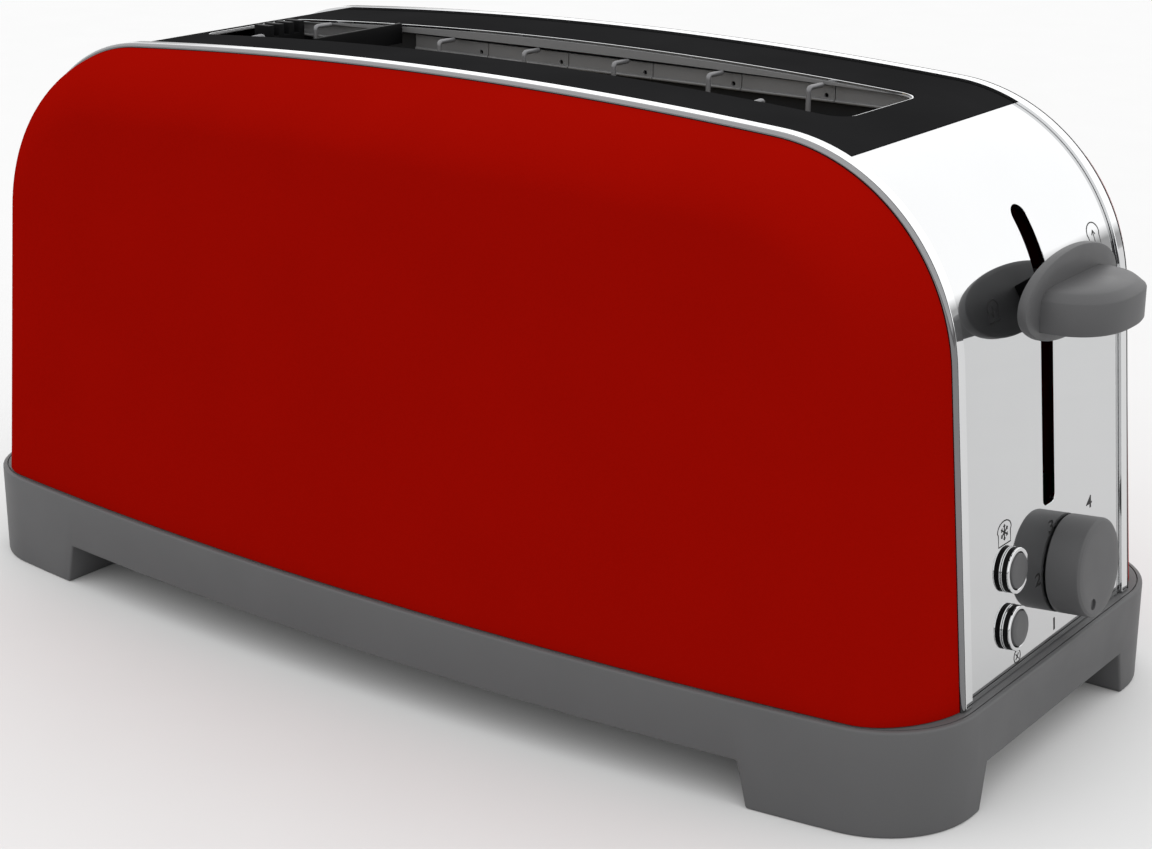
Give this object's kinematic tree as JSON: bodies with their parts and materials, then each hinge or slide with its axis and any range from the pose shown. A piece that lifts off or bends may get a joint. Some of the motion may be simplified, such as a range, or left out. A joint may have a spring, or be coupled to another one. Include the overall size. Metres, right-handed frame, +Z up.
{
  "type": "pop up toaster",
  "caption": "Long slot pop up toaster with painted sides, bright end panels, a sliding lift lever, browning dial, two buttons and a pull out crumb tray.",
  "frame": {"origin": "centre of the footprint on the surface that the feet stand on, lever handle and cord gland included", "axes": "+X along the slot towards the lever and dial, +Y across the slot towards the rear painted side, +Z up"},
  "size_m": [0.4064, 0.189, 0.192],
  "materials": {
    "red_paint": "gloss",
    "chrome": "mirror bright",
    "steel": "plain pressed sheet and wire",
    "grey_plastic": "satin moulded",
    "black_plastic": "moulded",
    "black_paint": "satin",
    "mica": "pressed mica sheet",
    "copper": "enamelled copper winding",
    "circuit_board": "green lacquer"
  },
  "bodies": {
    "housing": {"base": "grey_plastic", "bottom_plate": "steel", "base_screw_1": "steel", "base_screw_2": "steel", "base_screw_3": "steel", "base_screw_4": "steel", "front_shell": "red_paint", "rear_shell": "red_paint", "front_trim": "chrome", "rear_trim": "chrome", "control_panel": "chrome", "end_panel": "chrome", "top_panel": "black_paint", "slot_rim": "chrome", "slot_collar": "steel", "slot_divider": "black_paint", "end_comb": "black_plastic", "front_reflector": "steel", "rear_reflector": "steel", "control_end_plate": "steel", "rear_end_plate": "steel", "front_heater_card": "mica", "rear_heater_card": "mica", "front_heating_element": "steel", "rear_heating_element": "steel", "front_guide_rod": "steel", "rear_guide_rod": "steel", "lift_spring": "steel", "electromagnet_core": "steel", "electromagnet_coil": "copper", "control_board": "circuit_board", "browning_potentiometer": "steel", "defrost_switch": "black_plastic", "cancel_switch": "black_plastic", "defrost_bezel": "chrome", "cancel_bezel": "chrome", "terminal_block": "grey_plastic", "cord_gland": "black_plastic"},
    "carriage": {"lever_handle": "grey_plastic", "lever_arm": "black_plastic", "carriage_slider": "black_plastic", "magnet_keeper": "steel", "bread_rack": "steel"},
    "front_bread_guard": {"front_guard": "steel"},
    "rear_bread_guard": {"rear_guard": "steel"},
    "browning_dial": {"browning_knob": "grey_plastic", "browning_shaft": "steel"},
    "defrost_key": {"defrost_button": "grey_plastic"},
    "cancel_key": {"cancel_button": "grey_plastic"},
    "crumb_drawer": {"crumb_tray": "steel", "crumb_tray_handle": "grey_plastic"}
  },
  "joints": [
    {"name": "carriage_travel", "type": "slide", "parent": "housing", "child": "carriage", "axis": [0, 0, -1], "range_m": [-0.014, 0.055], "stiffness_N_per_m": 40, "springref_m": -0.035, "deforming": ["lift_spring"]},
    {"name": "front_guard_travel", "type": "slide", "parent": "housing", "child": "front_bread_guard", "axis": [0, 1, 0], "range_m": [-0.001, 0.004]},
    {"name": "rear_guard_travel", "type": "slide", "parent": "housing", "child": "rear_bread_guard", "axis": [0, -1, 0], "range_m": [-0.001, 0.004]},
    {"name": "browning_turn", "type": "hinge", "parent": "housing", "child": "browning_dial", "pos_m": [0.18756, 0.0118, 0.05535], "axis": [-0.9962, 0, -0.0872], "range_deg": [0, 200]},
    {"name": "defrost_press", "type": "slide", "parent": "housing", "child": "defrost_key", "axis": [-0.9962, 0, -0.0872], "range_m": [0, 0.002], "stiffness_N_per_m": 300, "springref_m": -0.001},
    {"name": "cancel_press", "type": "slide", "parent": "housing", "child": "cancel_key", "axis": [-0.9962, 0, -0.0872], "range_m": [0, 0.002], "stiffness_N_per_m": 300, "springref_m": -0.001},
    {"name": "crumb_tray_pull", "type": "slide", "parent": "housing", "child": "crumb_drawer", "axis": [-1, 0, 0], "range_m": [0, 0.33]}
  ],
  "couplings": [
    {"joint": "front_guard_travel", "follows": "carriage_travel", "ratio": 0.07},
    {"joint": "rear_guard_travel", "follows": "carriage_travel", "ratio": 0.07}
  ]
}
